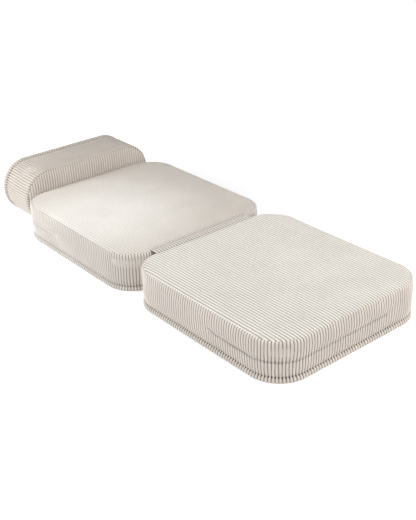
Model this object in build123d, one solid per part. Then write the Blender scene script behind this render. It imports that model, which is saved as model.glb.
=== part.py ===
from build123d import *
import math
import os

# Fold-out foam chair bed, laid out as a bed. Sizes in millimetres.
# X runs across the bed, +Y points to the head end and +Z up.
# Each cushion is modelled lying flat about its own middle, with its base at
# zero height, and is then put in its place in the bed.

# Overall sizes of the three pieces
cushion_width = 600.0  # front and middle cushion, over the bulge of their sides
cushion_length = 660.0
cushion_thickness = 132.0  # from the floor to the crown of the top
cushion_corner = 105.0
bolster_width = 534.0
bolster_height = 202.0  # as it stands
bolster_depth = 178.0  # from the crown of its front to its back
bolster_corner = 99.0
cushion_gap = 12.0  # between the bulges of the front and the middle cushion

# Form of the cover
cover_thickness = 3.0  # padded ribbed cloth
crown = 5.0  # rise of the top panel from its rim to its flat middle
crown_reach = 78.0  # from the rim inwards, over which the panel rises
seam_inset = 9.0  # top seam, in from the bulge
shoulder_rise = 14.0  # height of the rounding under the top seam
band_joint = 64.0  # height of the line between the upper and the lower band
joint_inset = 4.0  # how far a zip draws that line in
joint_fade = 12.0  # height over which the upper band bulges out again
belly_rise = 32.0  # from the valley up to the flat of the lower band
valley_inset = 7.0  # stitched valley, in from the bulge
lip_height = 15.0  # from the base up to the valley
lip_flare = 1.0  # lip, out from the bulge
layer_gap = 0.3  # between one layer and the next

# What the cover holds
liner_thickness = 1.0
tape_thickness = 0.6
tape_width = 24.0

# Zips
coil_width = 4.4
coil_thickness = 2.0
front_zip_reach = 278.0  # along the side, from the foot end of the front cushion
middle_zip_reach = 240.0  # along the side, from the head end of the middle cushion
zip_across = 422.0  # along the end of either cushion, from that side
zip_end_margin = 12.0  # how far the zipped bands run on past the ends of the zip
bolster_zip_length = 320.0
slider_length = 11.0
slider_wall = 1.2
slider_nose = 1.6  # how much narrower the slider is at its closed end
slider_round = 0.8
slide_clearance = 0.4
bridge_length = 6.0
bridge_width = 1.6
bridge_rise = 2.2
bridge_wall = 0.8
pin_radius = 0.55
pull_length = 14.0
pull_width = 5.0
pull_thickness = 1.0
pull_round = 1.2
pull_clearance = 0.3

# Fabric hinges
strip_thickness = 1.2
fold_clearance = 0.3  # between the folded crowns and the fold line
base_clearance = 0.45  # between the base fold line and what swings about it

# One overrun serves every cut
overrun = 1.0

# Where the crown is stepped, as shares of its reach
crown_step_share = (0.0, 0.14, 0.4, 0.7, 1.0)
# Where the shoulder is stepped, as shares of a quarter turn
shoulder_step_share = (0.0, 0.33, 0.67, 1.0)
# Where the lip is fullest between base and valley, as shares of its height and width
lip_belly_share = (0.45, 0.72)

# Sizes that follow from the ones above
zip_room = tape_thickness + 2 * layer_gap
slider_width = coil_width + 2 * (slide_clearance + slider_wall)
slot_width = slider_width + 2 * slide_clearance
coil_low = layer_gap  # heights over the outer face of the zip tape
coil_high = coil_low + coil_thickness
roof_low = coil_high + slide_clearance
roof_high = roof_low + slider_wall
pin_height = roof_high + (bridge_rise - bridge_wall) / 2
bridge_top = roof_high + bridge_rise
cloth_face = cover_thickness + layer_gap  # outer face of the cloth over the tape


class Cushion:
    """A boxed cushion: its outline at the bulge, its thickness and its place in the bed."""

    def __init__(self, width, length, thickness, corner, place):
        self.width = width
        self.length = length
        self.thickness = thickness
        self.corner = corner
        self.place = place

    def rim(self):
        return self.thickness - crown

    def outline(self, outset):
        """The plan of the cushion, moved out from the bulge by outset."""
        return RectangleRounded(
            self.width + 2 * outset,
            self.length + 2 * outset,
            self.corner + outset,
        )

    def form(self, levels):
        """A closed solid through the outline at each height and outset."""
        return loft([Pos(0, 0, height) * self.outline(outset) for height, outset in levels], ruled=True)

    def ring(self, low, high, inner, outer):
        """An upright wall between two outsets."""
        wall = extrude(Pos(0, 0, low) * self.outline(outer), high - low)
        return wall - extrude(Pos(0, 0, low) * self.outline(inner), high - low)


# Places, first with the fold line between the two cushions at Y zero
front_middle_y = -(cushion_gap + cushion_length) / 2
middle_middle_y = (cushion_gap + cushion_length) / 2
top_fold_z = cushion_thickness + fold_clearance
base_fold_y = cushion_gap / 2 + cushion_length + lip_flare + base_clearance
base_fold_z = -fold_clearance
bolster_front_y = base_fold_y + base_clearance
bolster_back_y = bolster_front_y + bolster_depth
bolster_middle_z = bolster_height / 2 + lip_flare
pull_over_cloth = bridge_top - cloth_face  # how far the bolster's slider stands out

# The origin is below the middle of the whole bed
foot_end_y = -(cushion_gap / 2 + cushion_length + lip_flare)
head_end_y = bolster_back_y + pull_over_cloth
middle_y = (foot_end_y + head_end_y) / 2

front = Cushion(
    cushion_width, cushion_length, cushion_thickness, cushion_corner, Pos(0, front_middle_y - middle_y, 0)
)
middle = Cushion(
    cushion_width, cushion_length, cushion_thickness, cushion_corner, Pos(0, middle_middle_y - middle_y, 0)
)
# The bolster stands on its edge, with its top panel to the front
bolster = Cushion(
    bolster_width,
    bolster_height,
    bolster_depth,
    bolster_corner,
    Pos(0, bolster_back_y - middle_y, bolster_middle_z) * Rot(90, 0, 0),
)


def crown_rise(share):
    """A quarter of an ellipse: steep at the rim and level at the flat middle."""
    return crown * math.sqrt(1 - (1 - share) ** 2)


def crown_levels(rim, outset):
    """Heights and outsets of a crowned face, from its rim to its flat middle."""
    return [(rim + crown_rise(share), outset - share * crown_reach) for share in crown_step_share]


def shoulder_levels(top):
    """The rounding from the bulge up to the top seam, a quarter of an ellipse."""
    levels = []
    for share in shoulder_step_share:
        turn = share * math.pi / 2
        height = top - shoulder_rise * (1 - math.sin(turn))
        levels.append((height, -seam_inset * (1 - math.cos(turn))))
    return levels


def seam_levels(cushion):
    """The top of a band, up to its seam with the top panel."""
    return shoulder_levels(cushion.rim() - cover_thickness - layer_gap)


def upper_levels(cushion, inset):
    """The upper band, from the line at mid height, drawn in by inset, to the top seam."""
    levels = [(band_joint + layer_gap / 2, -inset)]
    if inset:
        slot_top = band_joint + slot_width / 2
        levels += [(slot_top, -inset), (slot_top + joint_fade, 0)]
    return levels + seam_levels(cushion)


def lower_levels(inset):
    """The lower band, from the valley up to the line at mid height."""
    return [
        (lip_height, -valley_inset),
        (lip_height + belly_rise, -inset),
        (band_joint - layer_gap / 2, -inset),
    ]


def side_levels(cushion):
    """A plain band without a line at mid height, from the valley to the top seam."""
    return [(lip_height, -valley_inset), (lip_height + belly_rise, 0)] + seam_levels(cushion)


def lip_levels():
    """The stuffed lip, from its foot on the base panel up to the valley."""
    foot = cover_thickness + layer_gap
    height_share, width_share = lip_belly_share
    belly_height = foot + height_share * (lip_height - foot)
    belly_outset = -valley_inset + width_share * (lip_flare + valley_inset)
    return [(foot, lip_flare), (belly_height, belly_outset)]


def moved_in(levels, distance):
    return [(height, outset - distance) for height, outset in levels]


def core_levels(cushion, inset):
    """The filling inside the cover, its sides moved in by inset."""
    drop = inset - zip_room + layer_gap
    top = cushion.rim() - drop
    shoulder = shoulder_levels(top - shoulder_rise * (1 - math.sin(math.pi / 3)))
    side = [
        (drop + zip_room - layer_gap, -valley_inset),
        (lip_height, -valley_inset),
        (band_joint + slot_width / 2, -joint_inset),
        (band_joint + slot_width / 2 + joint_fade, 0),
        shoulder[0],
        shoulder[2],
    ]
    dome = crown_levels(top, -seam_inset)
    return moved_in(side + [dome[0], dome[2], dome[4]], inset)


def top_panel(cushion):
    """A crowned sheet, lofted from its underside out to the rim and back over its face."""
    face = crown_levels(cushion.rim(), -seam_inset)
    underside = crown_levels(cushion.rim() - cover_thickness, -seam_inset)
    return cushion.form(underside[::-2] + face)


def upper_band(cushion, inset):
    levels = upper_levels(cushion, inset)
    return cushion.form(levels) - cushion.form(moved_in(levels, cover_thickness))


def lipped_band(cushion, levels):
    """A band with its valley and the lip below, which is stuffed through."""
    outer = lip_levels() + levels
    inner = moved_in([(outer[0][0], -valley_inset)] + levels, cover_thickness)
    return cushion.form(outer) - cushion.form(inner)


def base_panel(cushion):
    return extrude(cushion.outline(lip_flare), cover_thickness)


def liner(cushion):
    """The closed inner bag, open nowhere, round the foam."""
    outer = cushion.form(core_levels(cushion, cover_thickness + zip_room))
    inner = cushion.form(core_levels(cushion, cover_thickness + zip_room + liner_thickness))
    return outer - inner


def foam(cushion):
    return cushion.form(core_levels(cushion, cover_thickness + zip_room + liner_thickness + layer_gap))


# A zip set in the bands runs round one corner of its cushion, like an L.
# end is -1 for the foot end and 1 for the head end.


def zip_zone(cushion, end, reach, margin):
    """A block over the corner that the zip goes round, and past the zip's ends by margin."""
    width = zip_across + 2 * lip_flare + margin
    depth = reach + 2 * lip_flare + margin
    x = width / 2 - cushion.width / 2 - 2 * lip_flare
    y = end * (cushion.length / 2 + 2 * lip_flare - depth / 2)
    return Pos(x, y, cushion.thickness / 2) * Box(width, depth, cushion.thickness)


def band_slot(cushion, end, reach):
    """The opening in both bands for the zip."""
    inner = -joint_inset - cover_thickness - zip_room / 2
    low = band_joint - slot_width / 2
    wall = cushion.ring(low, low + slot_width, inner, lip_flare)
    return wall & zip_zone(cushion, end, reach, 0)


def band_tape(cushion, end, reach):
    """The zip tape behind the bands, bent outwards above the slot as the upper band is."""
    half = tape_width / 2
    bend = slot_width / 2
    outwards = (half - bend) / joint_fade * joint_inset
    levels = [
        (band_joint - half, -joint_inset),
        (band_joint + bend, -joint_inset),
        (band_joint + half, outwards - joint_inset),
    ]
    outer = cushion.form(moved_in(levels, cloth_face))
    inner = cushion.form(moved_in(levels, cloth_face + tape_thickness))
    return (outer - inner) & zip_zone(cushion, end, reach, slide_clearance)


def band_coil(cushion, end, reach):
    """The closed coil on the tape."""
    face = -joint_inset - cloth_face
    low = band_joint - coil_width / 2
    wall = cushion.ring(low, low + coil_width, face + coil_low, face + coil_high)
    return wall & zip_zone(cushion, end, reach, -slide_clearance)


def band_zip_plane(cushion, end, reach):
    """Where the slider sits: on the tape's face, X along its travel and Z outwards."""
    x = -(cushion.width / 2 - joint_inset - cloth_face)
    y = end * (cushion.length / 2 - reach + slide_clearance + slider_length / 2)
    return Plane(origin=(x, y, band_joint), x_dir=(0, end, 0), z_dir=(-1, 0, 0))


# The bolster's zip lies straight across its back panel.


def back_block(width, height, low, thickness):
    return Pos(0, 0, low + thickness / 2) * Box(width, height, thickness)


def back_slot():
    return back_block(bolster_zip_length, slot_width, -overrun, cover_thickness + 2 * overrun)


def back_tape():
    return back_block(bolster_zip_length + 2 * slide_clearance, tape_width, cloth_face, tape_thickness)


def back_coil():
    length = bolster_zip_length - 2 * slide_clearance
    return back_block(length, coil_width, cloth_face - coil_high, coil_thickness)


def back_zip_plane():
    x = -(bolster_zip_length / 2 - slide_clearance - slider_length / 2)
    return Plane(origin=(x, 0, cloth_face), x_dir=(1, 0, 0), z_dir=(0, 0, -1))


# Slider and pull, with X along the zip, Y across it and Z outwards


def slider_outline():
    """A shield: wide where the two halves of the coil come in, narrower at the closed end."""
    half = slider_length / 2
    wide = slider_width / 2
    narrow = wide - slider_nose / 2
    points = [(-half, -narrow), (0, -wide), (half, -wide), (half, wide), (0, wide), (-half, narrow)]
    return make_face(Polyline(*points, close=True))


def zip_slider():
    low = coil_low + slide_clearance
    body = extrude(Pos(0, 0, low) * slider_outline(), roof_high - low)
    body = fillet(body.edges().filter_by(Axis.Z), slider_round)
    channel = Rectangle(slider_length + 2 * overrun, coil_width + 2 * slide_clearance)
    body -= extrude(channel, roof_low)
    return body + bridge()


def bridge():
    """The arch on the slider that holds the pull."""
    arch = RectangleRounded(bridge_length, 2 * bridge_rise, bridge_rise - bridge_wall / 2)
    opening = RectangleRounded(
        bridge_length - 2 * bridge_wall, 2 * (bridge_rise - bridge_wall), bridge_rise - 3 * bridge_wall / 2
    )
    side = Plane(origin=(0, bridge_width / 2, roof_high), x_dir=(1, 0, 0), z_dir=(0, 1, 0))
    loop = extrude(side * (arch - opening), -bridge_width)
    foot = Pos(0, 0, roof_high - bridge_rise) * Box(2 * bridge_length, 2 * bridge_width, 2 * bridge_rise)
    return loop - foot


def zip_pull():
    """A flat tongue with a window over the bridge and a round bar under it."""
    tongue = Pos(-pull_length / 2, 0) * RectangleRounded(pull_length, pull_width, pull_round)
    window_length = bridge_length / 2 + 2 * pull_clearance
    window = Pos(-window_length / 2, 0) * Rectangle(window_length, bridge_width + 2 * pull_clearance)
    end = Pos(pull_round - pin_radius / 2, 0) * Rectangle(2 * pull_round, 2 * pull_width)
    sheet = extrude(Pos(0, 0, pin_height - pull_thickness / 2) * (tongue - window - end), pull_thickness)
    bar = Pos(0, 0, pin_height) * Rot(90, 0, 0) * Cylinder(pin_radius, pull_width)
    return sheet + bar


# Fabric hinges


def sheet_along_x(start, finish, half_length):
    """A flat sheet from one line to another, both given as (y, z) and running along X."""
    run = Vector(finish[0] - start[0], finish[1] - start[1], 0)
    side = run.normalized().rotate(Axis.Z, 90) * (strip_thickness / 2)
    corners = [
        (start[0] + side.X, start[1] + side.Y),
        (finish[0] + side.X, finish[1] + side.Y),
        (finish[0] - side.X, finish[1] - side.Y),
        (start[0] - side.X, start[1] - side.Y),
    ]
    section = Plane(origin=(-half_length, 0, 0), x_dir=(0, 1, 0), z_dir=(1, 0, 0))
    return extrude(section * make_face(Polyline(*corners, close=True)), 2 * half_length)


def top_fold_leaf(side):
    """Half of the strip between the cushions. side is -1 on the front cushion, 1 on the middle one."""
    seam_y = side * (cushion_gap / 2 + seam_inset - layer_gap)
    fold_y = side * fold_clearance
    seam_z = cushion_thickness - crown - cover_thickness / 2
    fold_z = cushion_thickness - strip_thickness
    half_length = cushion_width / 2 - cushion_corner
    return Pos(0, -middle_y, 0) * sheet_along_x((seam_y, seam_z), (fold_y, fold_z), half_length)


def base_fold_strip():
    """The strip from the middle cushion's lip to the bolster's lower front seam."""
    fold_y = base_fold_y + strip_thickness / 2 + fold_clearance
    seam_y = bolster_front_y + crown + cover_thickness / 2
    seam_z = lip_flare + seam_inset - layer_gap - strip_thickness / 2
    half_length = bolster_width / 2 - bolster_corner
    return Pos(0, -middle_y, 0) * sheet_along_x((fold_y, strip_thickness), (seam_y, seam_z), half_length)


# Each cushion's pieces


def shared_pieces(cushion, top, base):
    """The pieces that all three cushions have, by name."""
    return {top: top_panel(cushion), base: base_panel(cushion), "liner": liner(cushion), "foam": foam(cushion)}


def band_zipped_pieces(cushion, end, reach):
    """A zipped upper and lower band round one corner, and a plain side band round the rest."""
    pieces = shared_pieces(cushion, "top_panel", "base_panel")
    zipped = zip_zone(cushion, end, reach, zip_end_margin)
    slot = band_slot(cushion, end, reach)
    pieces["upper_band"] = (upper_band(cushion, joint_inset) & zipped) - slot
    pieces["lower_band"] = (lipped_band(cushion, lower_levels(joint_inset)) & zipped) - slot
    plain = lipped_band(cushion, side_levels(cushion))
    pieces["side_band"] = plain - zip_zone(cushion, end, reach, zip_end_margin + layer_gap)
    pieces["zip_tape"] = band_tape(cushion, end, reach)
    pieces["zip_coil"] = band_coil(cushion, end, reach)
    plane = band_zip_plane(cushion, end, reach)
    pieces["zip_slider"] = plane * zip_slider()
    pieces["zip_pull"] = plane * zip_pull()
    return pieces


def back_zipped_pieces(cushion):
    pieces = shared_pieces(cushion, "front_panel", "back_panel")
    pieces["front_band"] = upper_band(cushion, 0)
    pieces["back_band"] = lipped_band(cushion, lower_levels(0))
    pieces["back_panel"] -= back_slot()
    pieces["zip_tape"] = back_tape()
    pieces["zip_coil"] = back_coil()
    pieces["zip_slider"] = back_zip_plane() * zip_slider()
    pieces["zip_pull"] = back_zip_plane() * zip_pull()
    return pieces


def all_pieces():
    groups = {
        "front": (front, band_zipped_pieces(front, -1, front_zip_reach)),
        "middle": (middle, band_zipped_pieces(middle, 1, middle_zip_reach)),
        "bolster": (bolster, back_zipped_pieces(bolster)),
    }
    pieces = {}
    for group, (cushion, made) in groups.items():
        for name, solid in made.items():
            pieces[f"{group}_{name}"] = cushion.place * solid
    pieces["front_fold_strip"] = top_fold_leaf(-1)
    pieces["middle_fold_strip"] = top_fold_leaf(1)
    pieces["bolster_fold_strip"] = base_fold_strip()
    return pieces


def print_places():
    """The joint places and travels, as used by whoever joins the pieces."""
    print("top fold: y", -middle_y, "z", top_fold_z)
    print("base fold: y", base_fold_y - middle_y, "z", base_fold_z)
    for name, cushion, plane in (
        ("front", front, band_zip_plane(front, -1, front_zip_reach)),
        ("middle", middle, band_zip_plane(middle, 1, middle_zip_reach)),
        ("bolster", bolster, back_zip_plane()),
    ):
        pin = cushion.place * plane.location * Pos(0, 0, pin_height)
        print(name, "pull pin:", pin.position)
    for name, reach in (("front", front_zip_reach), ("middle", middle_zip_reach)):
        print(name, "slider travel:", reach - cushion_corner - slider_length - 2 * slide_clearance)
    print("bolster slider travel:", bolster_zip_length - slider_length - 2 * slide_clearance)


os.makedirs("parts", exist_ok=True)
for name, solid in all_pieces().items():
    export_step(solid, f"parts/{name}.step")
print_places()
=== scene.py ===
# %% [markdown]
# # A fold-out foam chair bed in thick corduroy
# Three foam pieces lie in a row: a front cushion, a middle cushion and a bolster.
# Each wears a zipped cover, and strips of cloth hinge them together.
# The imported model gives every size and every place. This lesson dresses it in cloth.
# It goes from the frame to the shapes, and from the shapes to the finishes.

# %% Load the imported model
import math

import bmesh
import bpy
import numpy as np
from mathutils import Matrix, Vector


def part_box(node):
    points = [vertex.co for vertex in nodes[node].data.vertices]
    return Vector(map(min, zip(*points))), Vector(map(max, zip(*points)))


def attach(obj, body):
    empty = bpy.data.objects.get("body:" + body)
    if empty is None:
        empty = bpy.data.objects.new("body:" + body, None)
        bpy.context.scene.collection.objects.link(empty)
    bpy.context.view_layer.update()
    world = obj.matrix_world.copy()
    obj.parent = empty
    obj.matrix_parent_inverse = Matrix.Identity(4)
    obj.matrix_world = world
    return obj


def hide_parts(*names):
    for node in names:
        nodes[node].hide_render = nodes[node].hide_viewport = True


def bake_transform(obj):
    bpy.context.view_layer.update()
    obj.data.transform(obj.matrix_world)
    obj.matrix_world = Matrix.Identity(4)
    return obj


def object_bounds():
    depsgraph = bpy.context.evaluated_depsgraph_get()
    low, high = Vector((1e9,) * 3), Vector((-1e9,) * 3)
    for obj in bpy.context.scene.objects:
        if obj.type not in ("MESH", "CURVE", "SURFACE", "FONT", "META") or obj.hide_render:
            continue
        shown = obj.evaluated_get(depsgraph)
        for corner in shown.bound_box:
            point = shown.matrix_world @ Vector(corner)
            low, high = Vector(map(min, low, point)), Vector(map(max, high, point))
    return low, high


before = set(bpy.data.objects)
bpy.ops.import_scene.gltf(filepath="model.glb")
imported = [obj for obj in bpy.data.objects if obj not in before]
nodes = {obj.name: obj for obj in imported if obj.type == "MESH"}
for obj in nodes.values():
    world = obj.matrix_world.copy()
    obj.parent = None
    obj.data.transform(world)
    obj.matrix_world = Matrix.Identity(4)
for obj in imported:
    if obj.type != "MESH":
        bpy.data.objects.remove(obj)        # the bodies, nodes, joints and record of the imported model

cad_low, cad_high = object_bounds()
print("packed box:", [round(v, 4) for v in (*cad_low, *cad_high)], "nodes:", len(nodes))

# %% [markdown]
# ## Sizes that the boxes don't tell
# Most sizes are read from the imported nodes' boxes. A box can't tell a corner radius,
# the height of a seam line or the pitch of the ribs, so those are written here once.

# %% Name the sizes, in metres
rib_pitch = 0.010
rib_height = 0.0031  # from the groove to the top of a rib
cushion_corner = 0.105
bolster_corner = 0.099
seam_drop = 0.0055  # top seam, below the crown of the cushion
shoulder_rise = 0.0137
band_joint = 0.064  # height of the zip line
joint_inset = 0.004
joint_fade = 0.012
belly_rise = 0.034
valley_inset = 0.007
stitch_inset = 0.0020  # how much deeper the stitching bites at the valley
lip_height = 0.015
lip_reach = -0.0004  # the stuffed lip, out from the bulge, under its ribs
cloth_thickness = 0.0012
crown_reach = 0.085
start_crown = 0.0014  # before the cushion is puffed up
slack = 0.0022  # how much smaller the sides start

# %% [markdown]
# ## A cushion as a rounded outline
# A boxed cushion is a rounded rectangle with a band of cloth round it. The band is easy to
# describe by two numbers: how far along the outline, and how far down the side. So the
# outline is a function of distance. Its core rectangle moves on the straight runs and stands
# still on the corners, while the outward direction turns only on the corners.


# %% Describe a cushion
def running_total(steps):
    """The way to each place, for steps from one place to the next."""
    return np.concatenate([[0], np.cumsum(steps)])


class Cushion:
    """A boxed cushion lying on its base, and the place where it really is."""

    def __init__(self, name, body, half_width, half_length, thickness, corner, place, mirrored=False):
        self.name, self.body, self.place, self.mirrored = name, body, place, mirrored
        self.half_width, self.half_length = half_width, half_length
        self.thickness, self.corner = thickness, corner
        self.rim = thickness - seam_drop
        core_x, core_y = half_width - corner, half_length - corner
        quarter = corner * math.pi / 2
        runs = [core_x, quarter, 2 * core_y, quarter, 2 * core_x, quarter, 2 * core_y, quarter, core_x]
        self.knots = running_total(runs)
        self.round = self.knots[-1]
        self.turns = np.radians([0, 0, 90, 90, 180, 180, 270, 270, 360, 360])
        self.core_x = core_x * np.array([0, 1, 1, 1, 1, -1, -1, -1, -1, 0])
        self.core_y = core_y * np.array([-1, -1, -1, 1, 1, 1, 1, -1, -1, -1])
        self.ribs = 2 * round(self.round / rib_pitch / 2)
        self.pitch = self.round / self.ribs

    def rib_count(self, along):
        """Ribs counted along the outline. Whole numbers lie in the grooves."""
        return along / self.pitch + 0.5

    def outline(self, along):
        """Places and outward directions at distances anticlockwise from the middle of the foot end."""
        along = np.mod(along, self.round)
        turn = np.interp(along, self.knots, self.turns)
        out_x, out_y = np.sin(turn), -np.cos(turn)
        x = np.interp(along, self.knots, self.core_x) + self.corner * out_x
        y = np.interp(along, self.knots, self.core_y) + self.corner * out_y
        return x, y, out_x, out_y

    def depth(self, x, y, inset):
        """How far a point of the top lies inside the outline that is inset from the bulge."""
        across = np.abs(x) - (self.half_width - self.corner)
        ahead = np.abs(y) - (self.half_length - self.corner)
        outside = np.hypot(np.maximum(across, 0), np.maximum(ahead, 0))
        return self.corner - inset - outside - np.minimum(np.maximum(across, ahead), 0)


def middle_of(low, high):
    return (low + high) / 2


# %% [markdown]
# The middle cushion is the front one turned end for end, so that its zip lies at the head.
# It is built like the front one and then mirrored along its length.
# The bolster is a cushion too: it stands on one long edge with its top facing the foot end.

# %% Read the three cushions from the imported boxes
base_low, base_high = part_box("front_base_panel")
upper_low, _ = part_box("front_upper_band")
top_low, top_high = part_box("front_top_panel")
lip_flare = upper_low.x - base_low.x
seam_inset = top_low.x - upper_low.x
flat_length = (base_high.y - base_low.y) / 2 - lip_flare


def lying_cushion(name, mirrored):
    low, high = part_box(f"{name}_base_panel")
    place = Matrix.Translation((0, middle_of(low, high).y, 0))
    half, thickness = (-upper_low.x, flat_length), top_high.z
    return Cushion(name, f"{name}_cushion", *half, thickness, cushion_corner, place, mirrored)


def standing_bolster():
    low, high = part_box("bolster_back_panel")
    front_low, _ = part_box("bolster_front_panel")
    place = Matrix.Translation((0, high.y, middle_of(low, high).z)) @ Matrix.Rotation(math.pi / 2, 4, "X")
    half_width = high.x - lip_flare
    half_height = (high.z - low.z) / 2 - lip_flare
    return Cushion("bolster", "bolster", half_width, half_height, high.y - front_low.y, bolster_corner, place)


front = lying_cushion("front", False)
middle = lying_cushion("middle", True)
bolster = standing_bolster()
cushions = (front, middle, bolster)
for cushion in cushions:
    print(cushion.name, "ribs round the band:", cushion.ribs, "pitch in mm:", round(cushion.pitch * 1000, 3))

# %% [markdown]
# ## The ribs
# Corduroy this thick has real ribs: rounded, close together, with a narrow groove between.
# At this scale a bump in the material would leave a smooth outline, so each rib is geometry.
# Eight columns of points make one rib. They crowd at the groove, where the form turns fastest.

# %% Form one rib
rib_column_share = (0, 0.06, 0.17, 0.33, 0.5, 0.67, 0.83, 0.94)
rib_roundness = 0.68


def rib_form(phase):
    """-1 in the groove at whole numbers and 1 on top of the rib half way between."""
    return 2 * np.abs(np.sin(phase * math.pi)) ** rib_roundness - 1


def rib_columns(low, high, pitch):
    """Places of the columns from low to high. A rib is centred on zero."""
    ribs = range(math.floor(low / pitch - 1), math.ceil(high / pitch + 1) + 1)
    places = [(rib + share - 0.5) * pitch for rib in ribs for share in rib_column_share]
    least = pitch / 40
    inside = [place for place in places if low + least < place < high - least]
    return np.array([low, *inside, high])


# %% [markdown]
# ## The profile of a band
# Seen in section, the cover leaves the top seam over a rounded shoulder, runs down the side,
# is drawn in at a stitched valley near the base, and ends in a stuffed lip. Where the zip is,
# the side is drawn in a second time. The profile is a list of rows from the seam downwards.
# Each row has an outset from the bulge, a height, and the share of the full rib that it keeps.

# %% Shares along the profile
def rows_of(*values):
    """One value for each row, from the top down."""
    return np.array(values)[:, None]


shoulder_share = rows_of(0, 0.13, 0.28, 0.45, 0.62, 0.8, 1)
upper_side_share = rows_of(0.25, 0.5, 0.72, 0.88, 1)
lower_side_share = rows_of(0, 0.14, 0.33, 0.52, 0.7, 0.84, 0.93, 0.975)
lip_width_share = rows_of(0, 0.2, 0.45, 0.72, 0.9, 0.98, 1.0, 0.94, 0.73, 0.38)
lip_height_share = rows_of(1, 0.96, 0.88, 0.74, 0.56, 0.365, 0.19, 0.08, 0.04, 0.07)
lip_rib_share = rows_of(0.55, 0.7, 0.85, 1, 1, 1, 0.9, 0.5, 0.15, 0)
valley_flattening = 0.45  # of the rib, lost where the side runs into the valley
stitch_reach = 0.0017  # how far from the valley the stitching bites


def ease(value):
    """0 below 0, 1 above 1, and smooth between."""
    value = np.clip(value, 0, 1)
    return value * value * (3 - 2 * value)


def beside(distance, reach):
    """1 at no distance, about a third at the reach, and nearly 0 at twice the reach."""
    return np.exp(-((distance / reach) ** 2))


def belly(height):
    """1 at the valley, and 0 where the side has reached its bulge."""
    return 1 - np.sin(np.clip((height - lip_height) / belly_rise, 0, 1) * math.pi / 2)


def drawn_in(height):
    """Outset of the side where a zip draws it in."""
    above = -joint_inset * (1 - ease((height - band_joint - slot_half) / joint_fade))
    below = -joint_inset - (valley_inset - joint_inset) * belly(height)
    return np.where(height > band_joint, above, below)


def plain_side(height):
    """Outset of the side where there is no zip. The puffing brings it out to the bulge."""
    return -slack - (valley_inset - slack) * belly(height)


# %% [markdown]
# The zip runs round one corner, like an L. Its slot is as wide as the slider on the straight
# run that the slider travels. Past it the two edges of cloth close over the coil: their ribs
# touch, and only the grooves stay open, which shows as a line of small dark dashes, darkened further by
# painted shade.
# The slot closes fully at its ends, so the zipped bands meet the plain band without a step.

# %% Lay out the zip of a lying cushion
slot_half = 0.0039
rib_hang = 0.0004  # how far the ribs of the upper edge hang into the slot
touching_half = 0.00015  # where rib meets rib
open_half = 0.0009  # more, where groove meets groove
roll_depth = 0.0012  # how far the edges roll in
slider_roll = 0.0005  # more, beside the slider
wide_past = 0.007  # how far round the corner the slot keeps its width
end_margin = 0.012  # how far the zipped bands run on past the ends of the zip
slot_margin = end_margin * 0.6  # the way on which the slot opens


class Zip:
    """Where a zip lies along the outline of its cushion. The corner that it rounds is left of the foot."""

    def __init__(self, cushion):
        low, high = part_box(f"{cushion.name}_upper_band")
        self.cushion = cushion
        reach = (high.y - low.y) - end_margin
        self.corner_start = -cushion.knots[2]
        self.start = self.corner_start - (reach - cushion.corner)
        self.end = high.x - end_margin

    def inside(self, along, margin):
        """1 along the zip and 0 away from it, with a smooth end as long as the margin."""
        centre = (self.start + self.end) / 2
        once_round = self.cushion.round
        along = np.mod(along - centre + once_round / 2, once_round) + centre - once_round / 2
        return ease((along - self.start) / margin + 1) * ease((self.end - along) / margin + 1)

    def by_the_slider(self, along):
        """1 on the straight run of the slider and 0 past it."""
        return 1 - ease((along - self.corner_start - wide_past) / (2 * end_margin))

    def half_gap(self, along):
        """Half the width of the slot between the two edges of cloth."""
        groove = 0.5 - 0.5 * rib_form(self.cushion.rib_count(along))
        closed = touching_half + open_half * groove
        wide = slot_half + open_half * groove
        half = closed + (wide - closed) * self.by_the_slider(along)
        return half * self.inside(along, slot_margin)


zips = {cushion.name: Zip(cushion) for cushion in (front, middle)}
for name, lane in zips.items():
    print(name, "zip along the outline from", round(lane.start, 4), "to", round(lane.end, 4))


# %% Turn the profile into rows
def side_outset(cushion, along, height):
    """Outset at a height of the side, plain or drawn in."""
    plain = plain_side(height)
    lane = zips.get(cushion.name)
    if lane is None:
        return plain
    zipped = lane.inside(along, 3 * end_margin)
    return plain + (np.minimum(drawn_in(height), plain) - plain) * zipped


def outset_at(cushion, along, height):
    """Outset of the cover at any height between the valley and the top seam."""
    fall = np.clip((cushion.rim - height) / shoulder_rise, 0, 1)
    turn = np.arccos(1 - fall)
    shoulder = -seam_inset * (1 - np.sin(turn)) - slack * np.sin(turn) ** 2
    return np.where(fall < 1, shoulder, side_outset(cushion, along, height))


def upper_rows(cushion, along, half_gap):
    """Outset, height and rib share of each row from the top seam to the zip line."""
    fall = 1 - np.cos(shoulder_share * math.pi / 2)
    start, finish = cushion.rim - shoulder_rise, band_joint + half_gap
    side = start + (finish - start) * upper_side_share
    height = np.vstack([cushion.rim - shoulder_rise * fall + 0 * along, side])
    return outset_at(cushion, along, height), height, np.ones_like(height)


def lower_rows(cushion, along, half_gap):
    """The same from the zip line through the valley to the foot of the lip."""
    start = band_joint - half_gap
    side = start + (lip_height - start) * lower_side_share
    height = np.vstack([side, lip_height * lip_height_share + 0 * along])
    lip_outset = lip_width_share * (valley_inset + lip_reach) - valley_inset + 0 * along
    outset = np.vstack([side_outset(cushion, along, side), lip_outset])
    rib = np.vstack([1 - valley_flattening * lower_side_share**12, lip_rib_share]) + 0 * along
    in_the_valley = outset < -0.3 * valley_inset
    bitten = beside(height - lip_height, stitch_reach) * in_the_valley
    return outset - stitch_inset * bitten, height, rib


def way_down(cushion):
    """Heights from the top seam to the valley, the share of the way at each, and the whole way."""
    height = np.linspace(cushion.rim, lip_height, 400)
    outset = outset_at(cushion, cushion.round / 2, height)
    way = running_total(np.hypot(np.diff(outset), np.diff(height)))
    return height, way / way[-1], way[-1]


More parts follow.
